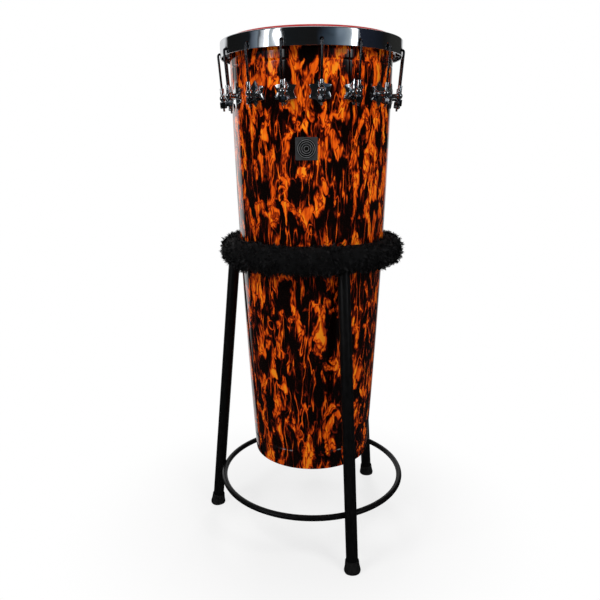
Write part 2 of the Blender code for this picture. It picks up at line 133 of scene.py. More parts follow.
# Stand
RING_LEVEL = 0.6584
RING_RADIUS = 0.1750
RING_BAR = 0.006
LEG_FLOOR_RADIUS = 0.241
LEG_RADIUS = 0.0127
LEG_WALL = 0.0015
LEG_SLOPE = (LEG_FLOOR_RADIUS - RING_RADIUS) / RING_LEVEL
LEG_LEAN = math.atan(LEG_SLOPE)
FOOT_SOLE = 0.006
BRACE_LEVEL = 0.116
BRACE_BAR = 0.00635

# Fur sleeve: half its height, its thickness, and what the hairs take of that
FUR_HALF = 0.0263
FUR_THICK = 0.0425
FUR_PILE = 0.0035
FUR_MIDDLE_SHARE = 0.52
FUR_HEART_SHARE = 0.4
FUR_CLUMPS = 4200
HAIRS_IN_CLUMP = 5
HAIR_LENGTH = (0.0055, 0.0105)
HAIR_BOW = (0.0004, 0.0014)
HAIR_WIDTH = (0.0003, 0.0006)
HAIR_ROOT_SPREAD = 0.003
HAIR_ROOT_DEPTH = 0.0008
HAIR_TIP_SPREAD = 0.0013
HAIR_LIE = 0.9
HAIR_DROOP = 0.35
PALE_CLUMPS = 0.3
LUMP_HEIGHT = 0.0085
LUMPS_PER_METRE = 30.0


def shell_radius(height):
    share = (height - SHELL_BASE) / SHELL_HEIGHT
    return BOTTOM_RADIUS + (TOP_RADIUS - BOTTOM_RADIUS) * share + 4 * BELLY * share * (1 - share)


# Materials

def new_material(name):
    material = bpy.data.materials.new(name)
    material.use_nodes = True
    tree = material.node_tree
    return material, tree, tree.nodes["Principled BSDF"]


def add_node(tree, kind, **values):
    node = tree.nodes.new(kind)
    for key, value in values.items():
        setattr(node, key, value)
    return node


def set_inputs(node, **numbers):
    """Set a node's sockets, named with _ for each space."""
    for name, number in numbers.items():
        node.inputs[name.replace("_", " ")].default_value = number


def object_coords(tree, stretch=(1.0, 1.0, 1.0)):
    coords = add_node(tree, "ShaderNodeTexCoord")
    mapping = add_node(tree, "ShaderNodeMapping")
    mapping.inputs["Scale"].default_value = stretch
    tree.links.new(coords.outputs["Object"], mapping.inputs["Vector"])
    return mapping.outputs["Vector"]


def split_xyz(tree, vector):
    parts = add_node(tree, "ShaderNodeSeparateXYZ")
    tree.links.new(vector, parts.inputs[0])
    return parts.outputs


def noise(tree, vector, scale, detail=2.0, roughness=0.5, output="Fac"):
    node = add_node(tree, "ShaderNodeTexNoise")
    set_inputs(node, Scale=scale, Detail=detail, Roughness=roughness)
    tree.links.new(vector, node.inputs["Vector"])
    return node.outputs[output]


def math_node(tree, operation, first, second=None, third=None, clamp=False):
    node = add_node(tree, "ShaderNodeMath", operation=operation, use_clamp=clamp)
    for slot, value in zip(node.inputs, (first, second, third)):
        if value is None:
            continue
        if isinstance(value, (int, float)):
            slot.default_value = value
        else:
            tree.links.new(value, slot)
    return node.outputs[0]


def linear(tree, value, gain, offset, clamp=False):
    return math_node(tree, "MULTIPLY_ADD", value, gain, offset, clamp)


def product(tree, first, second, clamp=False):
    return math_node(tree, "MULTIPLY", first, second, clamp=clamp)


def ridge(tree, value, sharpness, top, middle=0.5):
    """A bright line where a value crosses its middle."""
    off_middle = math_node(tree, "ABSOLUTE", math_node(tree, "SUBTRACT", value, middle))
    return linear(tree, off_middle, -sharpness, top, clamp=True)


def ramp(tree, factor, stops):
    node = add_node(tree, "ShaderNodeValToRGB")
    elements = node.color_ramp.elements
    while len(elements) < len(stops):
        elements.new(1.0)
    for element, (position, color) in zip(elements, stops):
        element.position = position
        element.color = (*color, 1.0)
    tree.links.new(factor, node.inputs["Fac"])
    return node.outputs["Color"]


def warp(tree, vector, scale, reach):
    """Sway a texture's coordinates with coarse noise."""
    offset = add_node(tree, "ShaderNodeVectorMath", operation="SUBTRACT")
    offset.inputs[1].default_value = (0.5, 0.5, 0.5)
    tree.links.new(noise(tree, vector, scale, output="Color"), offset.inputs[0])
    scaled = add_node(tree, "ShaderNodeVectorMath", operation="SCALE")
    scaled.inputs["Scale"].default_value = reach
    tree.links.new(offset.outputs[0], scaled.inputs[0])
    moved = add_node(tree, "ShaderNodeVectorMath", operation="ADD")
    tree.links.new(vector, moved.inputs[0])
    tree.links.new(scaled.outputs[0], moved.inputs[1])
    return moved.outputs[0]


def add_bump(tree, shader, height, strength, distance):
    bump = add_node(tree, "ShaderNodeBump")
    set_inputs(bump, Strength=strength, Distance=distance)
    tree.links.new(height, bump.inputs["Height"])
    tree.links.new(bump.outputs["Normal"], shader.inputs["Normal"])


def vary_roughness(tree, shader, factor, low, high):
    between = add_node(tree, "ShaderNodeMapRange")
    set_inputs(between, To_Min=low, To_Max=high)
    tree.links.new(factor, between.inputs["Value"])
    tree.links.new(between.outputs["Result"], shader.inputs["Roughness"])


def speckled(name, dark, light, scale, rough, metallic=0.0, bump=(0.1, 0.0002), stretch=(1, 1, 1),
             shine=0.5):
    """A plain finish whose colour and roughness wander a little, with a fine bump."""
    material, tree, shader = new_material(name)
    grain = noise(tree, object_coords(tree, stretch), scale, detail=4.0)
    tree.links.new(ramp(tree, grain, [(0.3, dark), (0.7, light)]), shader.inputs["Base Color"])
    vary_roughness(tree, shader, grain, *rough)
    set_inputs(shader, Metallic=metallic, Specular_IOR_Level=shine)
    add_bump(tree, shader, grain, *bump)
    return material


def chrome(name, tint, rough, wave=0.0):
    """Bare metal with a faint haze, and with slow waves in its surface if it is rolled."""
    material, tree, shader = new_material(name)
    vector = object_coords(tree)
    if wave:
        add_bump(tree, shader, noise(tree, vector, scale=24.0, detail=1.0), 1.0, wave)
    haze = noise(tree, vector, scale=38.0, detail=4.0, roughness=0.6)
    shade = tuple(value * 0.92 for value in tint)
    tree.links.new(ramp(tree, haze, [(0.3, shade), (0.7, tint)]), shader.inputs["Base Color"])
    vary_roughness(tree, shader, haze, *rough)
    set_inputs(shader, Metallic=1.0)
    return material


# Black lacquer at no heat, then red, orange and yellow
FLAME_COLORS = [
    (0.0, (0.0030, 0.0010, 0.0008)),
    (0.12, (0.0060, 0.0013, 0.0009)),
    (0.24, (0.050, 0.0040, 0.0014)),
    (0.38, (0.160, 0.0125, 0.0022)),
    (0.52, (0.42, 0.038, 0.0030)),
    (0.68, (0.74, 0.082, 0.0040)),
    (0.84, (0.95, 0.145, 0.0060)),
    (1.0, (1.0, 0.30, 0.012)),
]


def flame_sheets(tree, tall):
    """Broad flames with bright cores and dark veins, fewer of them low on the shell."""
    flow = warp(tree, warp(tree, tall, scale=27.0, reach=0.040), scale=74.0, reach=0.014)
    cover = linear(tree, split_xyz(tree, object_coords(tree))["Z"], gain=1.05, offset=-0.98)
    cover = math_node(tree, "MINIMUM", cover, -0.06)
    places = linear(tree, noise(tree, tall, scale=15.0, detail=1.0), gain=2.2, offset=-1.1)
    places = math_node(tree, "ADD", places, cover)
    sheets = linear(tree, noise(tree, flow, scale=50.0), gain=8.5, offset=-3.76)
    sheets = math_node(tree, "ADD", sheets, places)
    edges = product(tree, sheets, 1.3, clamp=True)
    cores = linear(tree, sheets, gain=0.50, offset=-0.15, clamp=True)
    sheets = linear(tree, cores, gain=0.38, offset=product(tree, edges, 0.68))
    veins = ridge(tree, noise(tree, flow, scale=88.0), sharpness=15.0, top=1.0)
    return product(tree, sheets, linear(tree, veins, gain=-0.62, offset=1.0))


def flame_wisps(tree, gaps):
    """Thin tongues and thinner threads in the dark between the sheets."""
    drawn_out = warp(tree, object_coords(tree, (1.0, 1.0, 0.17)), scale=34.0, reach=0.016)
    wisps = ridge(tree, noise(tree, drawn_out, scale=60.0), sharpness=27.0, top=1.0)
    threads = ridge(tree, noise(tree, drawn_out, scale=105.0), sharpness=13.0, top=0.90)
    wisps = product(tree, wisps, product(tree, gaps, 0.86))
    threads = product(tree, threads, product(tree, gaps, 0.34))
    return math_node(tree, "MAXIMUM", wisps, threads)


def flame_curls(tree, gaps):
    """Rings of flame round some of the cells of a swayed pattern."""
    cells = add_node(tree, "ShaderNodeTexVoronoi")
    set_inputs(cells, Scale=25.0)
    swayed = warp(tree, object_coords(tree, (1.0, 1.0, 0.75)), scale=60.0, reach=0.012)
    tree.links.new(swayed, cells.inputs["Vector"])
    curls = ridge(tree, cells.outputs["Distance"], sharpness=17.0, top=0.80, middle=0.20)
    chosen = math_node(tree, "GREATER_THAN", cells.outputs["Color"], 0.55)
    return product(tree, product(tree, curls, chosen), gaps)


def flame_material():
    """Black lacquer with sheets, wisps and curls of flame under a clear coat."""
    material, tree, shader = new_material("flame_lacquer_look")
    tall = object_coords(tree, (1.0, 1.0, 0.42))
    gaps = linear(tree, noise(tree, tall, scale=46.0, detail=1.0), gain=6.0, offset=-2.4, clamp=True)
    flames = math_node(tree, "MAXIMUM", flame_sheets(tree, tall), flame_wisps(tree, gaps))
    flames = math_node(tree, "MAXIMUM", flames, flame_curls(tree, gaps))
    streaks = noise(tree, object_coords(tree, (1.0, 1.0, 0.14)), scale=150.0, roughness=0.6)
    heat = product(tree, flames, linear(tree, streaks, gain=1.3, offset=0.34), clamp=True)
    tree.links.new(ramp(tree, heat, FLAME_COLORS), shader.inputs["Base Color"])
    set_inputs(shader, Roughness=0.45, Specular_IOR_Level=0.0, Coat_Weight=1.0, Coat_Roughness=0.035)
    return material


LOOKS = {
    "flames": flame_material(),
    "inside": speckled("shell_inside", (0.010, 0.009, 0.008), (0.022, 0.019, 0.017), 60.0, (0.55, 0.75),
                       stretch=(1, 1, 0.2)),
    "hoop": chrome("hoop_chrome", (0.78, 0.80, 0.83), (0.03, 0.09), wave=0.0012),
    "cast": chrome("cast_chrome", (0.76, 0.78, 0.80), (0.06, 0.13)),
    "rod": chrome("rod_chrome", (0.12, 0.12, 0.13), (0.10, 0.22)),
    "thread": chrome("thread_steel", (0.62, 0.62, 0.63), (0.22, 0.34)),
    "nut": chrome("nut_chrome", (0.25, 0.26, 0.28), (0.10, 0.20)),
    "film": speckled("red_film_look", (0.37, 0.013, 0.013), (0.41, 0.016, 0.015), 40.0, (0.30, 0.42),
                     bump=(0.05, 0.0001)),
    "flesh": chrome("flesh_hoop_metal", (0.55, 0.55, 0.56), (0.25, 0.40)),
    "paint": speckled("satin_black_paint", (0.0025, 0.0025, 0.0026), (0.0050, 0.0050, 0.0053), 90.0,
                      (0.28, 0.40), bump=(0.06, 0.0002), shine=0.15),
    "rubber": speckled("foot_rubber", (0.004, 0.004, 0.004), (0.010, 0.010, 0.010), 150.0, (0.62, 0.82),
                       bump=(0.25, 0.0004), shine=0.25),
    "fur": speckled("fur_look", (0.0010, 0.0010, 0.0011), (0.0045, 0.0045, 0.0048), 220.0, (0.80, 0.95),
                    bump=(0.5, 0.001)),
    "fur_tip": speckled("fur_tip_look", (0.0060, 0.0060, 0.0064), (0.0180, 0.0180, 0.0190), 220.0,
                        (0.60, 0.80)),
    "plate": speckled("plate_gunmetal", (0.040, 0.041, 0.043), (0.060, 0.062, 0.065), 120.0, (0.40, 0.55),
                      metallic=0.3),
    "plate_ring": speckled("plate_raised", (0.17, 0.175, 0.18), (0.25, 0.255, 0.26), 120.0, (0.30, 0.45),
                           metallic=0.3),
    "plate_field": speckled("plate_black_enamel", (0.003, 0.003, 0.003), (0.006, 0.006, 0.006), 200.0,
                            (0.35, 0.50), shine=0.1),
}


# Shapes

def to_mesh(name, build, looks, angle=35.0):
    """Finish a mesh: smooth, but sharp where faces meet at more than an angle in degrees."""
    mesh = bpy.data.meshes.new(name)
    bmesh.ops.recalc_face_normals(build, faces=build.faces)
    build.to_mesh(mesh)
    build.free()
    for look in looks:
        mesh.materials.append(LOOKS[look])
    mesh.shade_smooth()
    mesh.set_sharp_from_angle(angle=math.radians(angle))
    return mesh


def add_object(name, data, matrix):
    obj = bpy.data.objects.new(name, data)
    bpy.context.scene.collection.objects.link(obj)
    obj.matrix_world = matrix
    return obj


def to_object(name, build, looks, angle=35.0, matrix=ON_AXIS):
    return add_object(name, to_mesh(name, build, looks, angle), matrix)


def dress(obj, body, slot, *nodes):
    """Ride a piece on its body and hide the solids that it replaces. Its slot, the finish, is not used."""
    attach(obj, body)
    if nodes:
        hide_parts(*nodes)


def arc(centre, reach, first, last, step=15):
    """Points of a part of an ellipse, from one angle to another in whole degrees."""
    way = 1 if last > first else -1
    turns = [math.radians(turn) for turn in range(first, last + way, way * step)]
    return [(centre[0] + reach[0] * math.cos(turn), centre[1] + reach[1] * math.sin(turn)) for turn in turns]


def circle(radius, height, count, start=0.0):
    turns = [start + math.tau * step / count for step in range(count)]
    return [(radius * math.cos(turn), radius * math.sin(turn), height) for turn in turns]


def torus_profile(radius, bar, level, sides):
    return [(radius + across, level + up) for across, up, _ in circle(bar, 0.0, sides)]


def fillet(points, radius, steps=4, closed=True):
    """Round each corner of an outline of (radius, height) points."""
    nearly_straight = math.radians(172)
    most_of_side = 0.45
    result = []
    count = len(points)
    for index, corner in enumerate(points):
        if not closed and index in (0, count - 1):
            result.append(corner)
            continue
        here = Vector(corner)
        before = Vector(points[index - 1]) - here
        after = Vector(points[(index + 1) % count]) - here
        if before.angle(after) > nearly_straight:
            result.append(corner)
            continue
        reach = min(radius, before.length * most_of_side, after.length * most_of_side)
        start = here + before.normalized() * reach
        end = here + after.normalized() * reach
        for step in range(steps + 1):
            share = step / steps
            point = start * (1 - share) ** 2 + here * 2 * share * (1 - share) + end * share ** 2
            result.append((point.x, point.y))
    return result


def add_ring(build, places):
    return [build.verts.new(place) for place in places]


def join(build, one, two, material=0):
    """Faces between two rings of vertices, one of which may be a single vertex."""
    count = max(len(one), len(two))
    for step in range(count):
        after = (step + 1) % count
        if len(one) == 1:
            corners = (one[0], two[step], two[after])
        elif len(two) == 1:
            corners = (one[step], two[0], one[after])
        else:
            corners = (one[step], two[step], two[after], one[after])
        build.faces.new(corners).material_index = material


def stitch(build, rings, material=0):
    for one, two in zip(rings, rings[1:]):
        join(build, one, two, material)


def lathe(build, profile, segments, closed=True, material=0, start=0.0, choose=None):
    """Turn an outline about Z. Points on the axis become one shared point."""
    rings = []
    for radius, height in profile:
        places = circle(radius, height, segments, start) if radius > 0.0 else [(0.0, 0.0, height)]
        rings.append(add_ring(build, places))
    for index in range(len(rings) if closed else len(rings) - 1):
        one, two = rings[index], rings[(index + 1) % len(rings)]
        if len(one) > 1 or len(two) > 1:
            join(build, one, two, choose(index) if choose else material)
    return rings


def lathe_at(build, matrix, profile, segments, closed=True):
    """Turn an outline about the Z axis of a placed frame."""
    made = [vertex for ring in lathe(build, profile, segments, closed) for vertex in ring]
    bmesh.ops.transform(build, verts=made, matrix=matrix)


def tube(build, points, radii, sides, material=0):
    """Sweep a circle along points that lie in the XZ plane."""
    rings = []
    across = Vector((0.0, 1.0, 0.0))
    for index, point in enumerate(points):
        along = points[min(index + 1, len(points) - 1)] - points[max(index - 1, 0)]
        side = along.normalized().cross(across).normalized()
        rings.append(add_ring(build, [point + across * y + side * x
                                      for y, x, _ in circle(radii[index], 0.0, sides)]))
    stitch(build, rings, material)
    for end in (rings[0], rings[-1]):
        build.faces.new(end).material_index = material


def on_shell(level, across, up, height, bend=1.0):
    """Point at a height off the shell's +X side, beside and above a level. Bend 0 leaves it flat."""
    reach = 0.01
    wall = shell_radius(level)
    slope = (shell_radius(level + reach) - shell_radius(level - reach)) / (2 * reach)
    out = wall + slope * up * bend + height - across * across / (2 * wall) * bend
    return Vector((out, across, level + up))


# Shell

def groove(level):
    """Outline points of a turned groove, from above it to below it."""
    half = GROOVE_WIDTH / 2
    lip = half + GROOVE_LIP
    wall = lip + GROOVE_RUN_OUT
    side = GROOVE_DEPTH * 0.25
    steps = [(wall, 0.0), (lip, 0.0), (half, side), (0.0, GROOVE_DEPTH),
             (-half, side), (-lip, 0.0), (-wall, 0.0)]
    return [(shell_radius(level + up) - depth, level + up) for up, depth in steps]


def make_shell():
    outer_rows = 28
    inner_rows = 8
    rim_top = WALL * 0.6
    outer = [(TOP_RADIUS - rim_top, SHELL_TOP)]
    outer += arc((TOP_RADIUS - TOP_ROUNDING, SHELL_TOP - TOP_ROUNDING), (TOP_ROUNDING, TOP_ROUNDING), 90, 0)
    for row in range(1, outer_rows):
        height = SHELL_TOP - TOP_ROUNDING - (SHELL_HEIGHT - 2 * TOP_ROUNDING) * row / outer_rows
        for level in GROOVE_LEVELS:
            if abs(height - level) < 0.5 * SHELL_HEIGHT / outer_rows:
                outer += groove(level)
                break
        else:
            outer.append((shell_radius(height), height))
    outer += arc((BOTTOM_RADIUS - BOTTOM_ROUNDING, SHELL_BASE + BOTTOM_ROUNDING),
                 (BOTTOM_ROUNDING, BOTTOM_ROUNDING), 0, -90)
    outside = len(outer) - 1
    inner = [(BOTTOM_RADIUS - WALL, SHELL_BASE)]
    for row in range(1, inner_rows):
        height = SHELL_BASE + SHELL_HEIGHT * row / inner_rows
        inner.append((shell_radius(height) - WALL, height))
    inner.append((TOP_RADIUS - WALL, SHELL_TOP - TOP_ROUNDING))
    build = bmesh.new()
    lathe(build, outer + inner, segments=192, choose=lambda index: 0 if index < outside else 1)
    dress(to_object("shell_lacquered", build, ["flames", "inside"], 50.0), "drum", "flame_lacquer", "shell")


# Head and hoop

def make_head():
    under = SHELL_TOP + GAP
    over = under + FILM
    flat = TOP_RADIUS - TOP_ROUNDING
    edge_level = SHELL_TOP - TOP_ROUNDING
    flesh_top = HOOP_TOP - HOOP_WALL - GAP
    flesh_low = flesh_top - FLESH_HEIGHT
    flesh_radius = HOOP_RADIUS - HOOP_WALL - FLESH_PLAY
    collar = TOP_RADIUS + 2 * GAP
    foot = collar + COLLAR_FLARE
    film = [(0.0, over), (flat * 0.5, over), (flat - 0.001, over)]
    film += arc((flat, edge_level), (collar + FILM - flat, TOP_ROUNDING + GAP + FILM), 75, 0)
    film += [(foot + FILM, flesh_top), (foot, flesh_top), (collar, edge_level), (flat, under), (0.0, under)]
    flesh = [(flesh_radius, flesh_top), (flesh_radius, flesh_low), (foot, flesh_low), (foot, flesh_top)]
    build = bmesh.new()
    lathe(build, film, segments=160, closed=False)
    lathe(build, fillet(flesh, radius=0.0015), segments=160, material=1)
    dress(to_object("head_film_and_hoop", build, ["film", "flesh"]), "drum", "red_film", "drum_head")


def hole_cutter():
    """Sixteen drills with a wider mouth, for the hoop's hook holes."""
    reach = 0.006
    mouth = HOLE_RADIUS + 2 * COUNTERSINK
    drill = [(0.0, -reach), (HOLE_RADIUS, -reach), (HOLE_RADIUS, -COUNTERSINK), (mouth, COUNTERSINK),
             (mouth, reach), (0.0, reach)]
    build = bmesh.new()
    for number in range(LUGS):
        placed = (Matrix.Rotation(FIRST_LUG + math.tau * number / LUGS, 4, "Z")
                  @ Matrix.Translation((HOOP_RADIUS, 0.0, HOLE_LEVEL))
                  @ Matrix.Rotation(math.pi / 2, 4, "Y"))
        lathe_at(build, placed, drill, segments=24, closed=False)
    return to_object("hoop_holes", build, ["hoop"])


def make_hoop():
    bevel = HOOP_CORNER * 0.3
    inside = HOOP_RADIUS - HOOP_WALL
    lip = HOOP_RADIUS - HOOP_LIP
    profile = [
        (lip, HOOP_TOP),
        (HOOP_RADIUS - HOOP_CORNER, HOOP_TOP),
        (HOOP_RADIUS - bevel, HOOP_TOP - bevel),
        (HOOP_RADIUS, HOOP_TOP - HOOP_CORNER),
        (HOOP_RADIUS, HOOP_LOW),
        (inside, HOOP_LOW),
        (inside, HOOP_TOP - HOOP_WALL),
        (lip, HOOP_TOP - HOOP_WALL),
    ]
    sharp_from = 40.0
    build = bmesh.new()
    lathe(build, fillet(profile, radius=0.0009, steps=3), segments=256, start=FIRST_LUG)
    hoop = to_object("hoop_polished", build, ["hoop"], sharp_from)
    cutter = hole_cutter()
    cut = hoop.modifiers.new("holes", "BOOLEAN")
    cut.operation = "DIFFERENCE"
    cut.object = cutter
    cut.solver = "EXACT"
    depsgraph = bpy.context.evaluated_depsgraph_get()
    mesh = bpy.data.meshes.new_from_object(hoop.evaluated_get(depsgraph))
    hoop.modifiers.clear()
    hoop.data = mesh
    bpy.data.objects.remove(cutter, do_unlink=True)
    mesh.shade_smooth()
    mesh.set_sharp_from_angle(angle=math.radians(sharp_from))
    weighted = hoop.modifiers.new("even_shine", "WEIGHTED_NORMAL")
    weighted.keep_sharp = True
    dress(hoop, "hoop", "bright_chrome", "tension_hoop")


# Lugs, hooks and nuts, made on the +X side and turned into place

BALL_AT = Vector((shell_radius(LUG_LEVEL) + BALL_OFFSET, 0.0, LUG_LEVEL))
ROD_TOP_RADIUS = HOOP_RADIUS + ROD_STANDOFF + ROD_RADIUS
LEAN = math.atan2(ROD_TOP_RADIUS - shell_radius(LUG_LEVEL) - BALL_OFFSET, HOLE_LEVEL - HOOK_BEND - LUG_LEVEL)
ROD_FRAME = Matrix.Translation(BALL_AT) @ Matrix.Rotation(LEAN, 4, "Y")

# Star plate, then neck: share of the full reach, how round, height off the shell
LUG_LAYERS = [
    (1.0, 0.0, 0.0004),
    (1.0, 0.0, 0.0022),
    (0.965, 0.0, 0.0031),
    (0.90, 0.0, 0.0034),
    (0.60, 0.30, 0.0034),
    (0.36, 1.0, 0.0036),
    (0.29, 1.0, 0.0044),
    (0.262, 1.0, 0.0060),
    (0.255, 1.0, 0.0090),
    (0.25, 1.0, 0.0150),
]
# Up to the first height off the shell a lug follows the shell's curve, and from the second it is flat
BENT_UP_TO = 0.006
FLAT_FROM = 0.011


def star_radius(turn):
    """Six points with hollow sides, the tips slightly blunt."""
    half_sector = math.tau / 12
    off_tip = abs(((turn - math.pi / 2 + half_sector) % (2 * half_sector)) - half_sector) / half_sector
    return min(STAR_HOLLOW + (STAR_TIP - STAR_HOLLOW) * (1 - off_tip) ** 1.55, STAR_BLUNT)


def lug_mesh():
    build = bmesh.new()
    turns = [math.tau * step / 96 for step in range(96)]
    rings = []
    for scale, roundness, height in LUG_LAYERS:
        bend = min(1.0, max(0.0, (FLAT_FROM - height) / (FLAT_FROM - BENT_UP_TO)))
        places = []
        for turn in turns:
            reach = scale * ((1 - roundness) * star_radius(turn) + roundness * NECK_ROUND)
            places.append(on_shell(LUG_LEVEL, reach * math.cos(turn), reach * math.sin(turn), height, bend))
        rings.append(add_ring(build, places))
    stitch(build, rings)
    build.faces.new(rings[0])
    build.faces.new(rings[-1])
    ball = bmesh.ops.create_uvsphere(build, u_segments=28, v_segments=18, radius=BALL_RADIUS)
    bmesh.ops.transform(build, verts=ball["verts"], matrix=ROD_FRAME)
    low = -BARREL_HEIGHT / 2
    barrel = [(BORE_RADIUS, SLEEVE_RISE), (SLEEVE_RADIUS, SLEEVE_RISE), (SLEEVE_RADIUS, 0.0),
              (BARREL_RADIUS, low), (BORE_RADIUS, low)]
    lathe_at(build, ROD_FRAME, fillet(barrel, radius=0.0007, steps=3), segments=28)
    return to_mesh("lug_cast", build, ["cast"], 38.0)


def nut_mesh():
    """Flanged hex nut below the lug's barrel, in the rod's frame."""
    build = bmesh.new()
    top = -BARREL_HEIGHT / 2 - GAP
    low = top - NUT_HEIGHT
    flange_low = top - FLANGE_HEIGHT
    flange = [(BORE_RADIUS, top), (FLANGE_RADIUS - FLANGE_TAPER, top), (FLANGE_RADIUS, flange_low),
              (BORE_RADIUS, flange_low)]
    lathe(build, fillet(flange, radius=0.0006, steps=3), segments=36)
    corner = NUT_ACROSS / 2 / math.cos(math.pi / 6)
    layers = [(corner * 0.93, top - 0.0020), (corner, top - 0.0032), (corner, low + 0.0014),
              (corner * 0.86, low), (BORE_RADIUS, low)]
    stitch(build, [add_ring(build, circle(radius, height, 6)) for radius, height in layers])
    return to_mesh("nut_hex", build, ["nut"], 25.0)


def hook_mesh():
    """Rod with its bent top in the hoop's hole, and its thread from above the ball to below the nut."""
    level = HOLE_LEVEL - (HOLE_RADIUS - ROD_RADIUS - GAP)
    inside = HOOP_RADIUS - HOOP_WALL - HOOK_END_INSET
    down = Vector((-math.sin(LEAN), 0.0, -math.cos(LEAN)))
    points = [BALL_AT - down * THREAD_ABOVE_BALL]
    over = arc((ROD_TOP_RADIUS - HOOK_BEND, level - HOOK_BEND), (HOOK_BEND, HOOK_BEND), 0, 90, 10)
    up = arc((inside + HOOK_TURN_UP, level + HOOK_TURN_UP), (HOOK_TURN_UP, HOOK_TURN_UP), -90, -180)
    end = [(inside, level + HOOK_END_RISE - HOOK_END_BEVEL), (inside, level + HOOK_END_RISE)]
    points += [Vector((x, 0.0, z)) for x, z in over + up + end]
    build = bmesh.new()
    tube(build, points, [ROD_RADIUS] * (len(points) - 1) + [ROD_RADIUS * 0.72], sides=16)
    tail = BARREL_HEIGHT / 2 + GAP + NUT_HEIGHT + TAIL_BELOW_NUT
    thread = []
    widths = []
    for turn in range(int((tail + THREAD_ABOVE_BALL) / THREAD_PITCH)):
        for share, width in ((0.0, 0.80), (0.5, 1.0)):
            thread.append(BALL_AT + down * ((turn + share) * THREAD_PITCH - THREAD_ABOVE_BALL))
            widths.append(ROD_RADIUS * width)
    tube(build, thread + [BALL_AT + down * tail], widths + [ROD_RADIUS * 0.7], sides=14, material=1)
    return to_mesh("hook_rod", build, ["rod", "thread"], 40.0)


def screw_mesh():
    """Washer and domed screw head that hold a lug from inside the shell."""
    seat = 0.0014
    washer_radius = 0.0085
    head_radius = 0.0048
    washer = [(0.0, 0.0), (washer_radius, 0.0), (washer_radius, seat), (0.0, seat)]
    dome = [(0.0, seat), (head_radius, seat), (head_radius, 0.0030), (0.0040, 0.0042), (0.0020, 0.0048),
            (0.0018, 0.0030), (0.0, 0.0030)]
    build = bmesh.new()
    lathe(build, fillet(washer, radius=0.0004, steps=2, closed=False), segments=28, closed=False)
    lathe(build, dome, segments=24, closed=False, material=1)
    return to_mesh("lug_screw", build, ["thread", "nut"])


def make_tuners():
    lug, nut, hook, screw = lug_mesh(), nut_mesh(), hook_mesh(), screw_mesh()
    washer_gap = 0.0001
    inner = shell_radius(LUG_LEVEL) - WALL - washer_gap
    to_wall = Matrix.Translation((inner, 0.0, LUG_LEVEL)) @ Matrix.Rotation(-math.pi / 2, 4, "Y")
    for number in range(LUGS):
        turn = ON_AXIS @ Matrix.Rotation(FIRST_LUG + math.tau * number / LUGS, 4, "Z")
        label = f"{number + 1:02d}"
        dress(add_object("lug_cast_" + label, lug, turn), "drum", "bright_chrome", "lug_" + label)
        dress(add_object("hook_rod_" + label, hook, turn), "hoop", "dark_chrome", "hook_" + label)
        dress(add_object("nut_hex_" + label, nut, turn @ ROD_FRAME), "nut_" + label, "bright_chrome",
              "nut_" + label)
        dress(add_object("lug_screw_" + label, screw, turn @ to_wall), "drum", "bright_chrome")


# Plate on the front

def plate_outline():
    """Square with rounded corners, its sides cut so that they follow the shell."""
    pieces_in_side = 12
    corners = []
    for x, y, first in ((1, 1, 0), (-1, 1, 90), (-1, -1, 180), (1, -1, 270)):
        centre = (x * (PLATE_HALF - PLATE_CORNER), y * (PLATE_HALF - PLATE_CORNER))
        corners += arc(centre, (PLATE_CORNER, PLATE_CORNER), first, first + 90, 30)
    outline = []
    for index, point in enumerate(corners):
        after = corners[(index + 1) % len(corners)]
        pieces = pieces_in_side if math.dist(point, after) > PLATE_HALF else 1
        for piece in range(pieces):
            share = piece / pieces
            outline.append(tuple(here + (there - here) * share for here, there in zip(point, after)))
    return outline


def make_plate():
    """Flat rim, a sunk round field and four plain raised rings on it."""
    rim, field, raised = 0.0017, 0.0008, 0.0016
    outline = plate_outline()
    build = bmesh.new()
    rings = []
    for scale, height in ((1.0, 0.0003), (1.0, 0.0012), (0.975, rim)):
        rings.append(add_ring(build, [on_shell(PLATE_LEVEL, across * scale, up * scale, height)
                                      for across, up in outline]))
    turns = [math.atan2(up, across) for across, up in outline]
    for radius, height in ((0.0189, rim), (0.0185, field), (0.0100, field), (0.0010, field)):
        rings.append(add_ring(build, [on_shell(PLATE_LEVEL, radius * math.cos(turn), radius * math.sin(turn),
                                               height) for turn in turns]))
    stitch(build, rings[:5])
    stitch(build, rings[4:], material=2)
    build.faces.new(rings[0])
    build.faces.new(rings[-1]).material_index = 2
    for radius, half in ((0.0166, 0.0007), (0.0128, 0.0006), (0.0088, 0.0006), (0.0046, 0.0006)):
        loops = []
        for side, height in ((-1.0, field - 0.0001), (-0.4, raised), (0.4, raised), (1.0, field - 0.0001)):
            loops.append(add_ring(build, [on_shell(PLATE_LEVEL, across, up, height)
                                          for across, up, _ in circle(radius + half * side, 0.0, 64)]))
        stitch(build, loops, material=1)
    placed = ON_AXIS @ Matrix.Rotation(PLATE_AZIMUTH, 4, "Z")
    plate = to_object("front_plate", build, ["plate", "plate_ring", "plate_field"], 30.0, placed)
    dress(plate, "drum", "bright_chrome")


# Stand

# Rubber foot about the leg's axis, from its socket down to its sole, which the floor cuts level
FOOT_OUTLINE = [
    (0.0, FOOT_SOLE),
    (LEG_RADIUS + GAP, FOOT_SOLE),
    (LEG_RADIUS + GAP, 0.0256),
    (0.0140, 0.0262),
    (0.0146, 0.0258),
    (0.0149, 0.0242),
    (0.0153, 0.0190),
    (0.0160, 0.0130),
    (0.0170, 0.0085),
    (0.0176, 0.0058),
    (0.0178, 0.0038),
    (0.0176, 0.0020),
    (0.0168, -0.0004),
    (0.0150, -0.0030),
    (0.0, -0.0060),
]


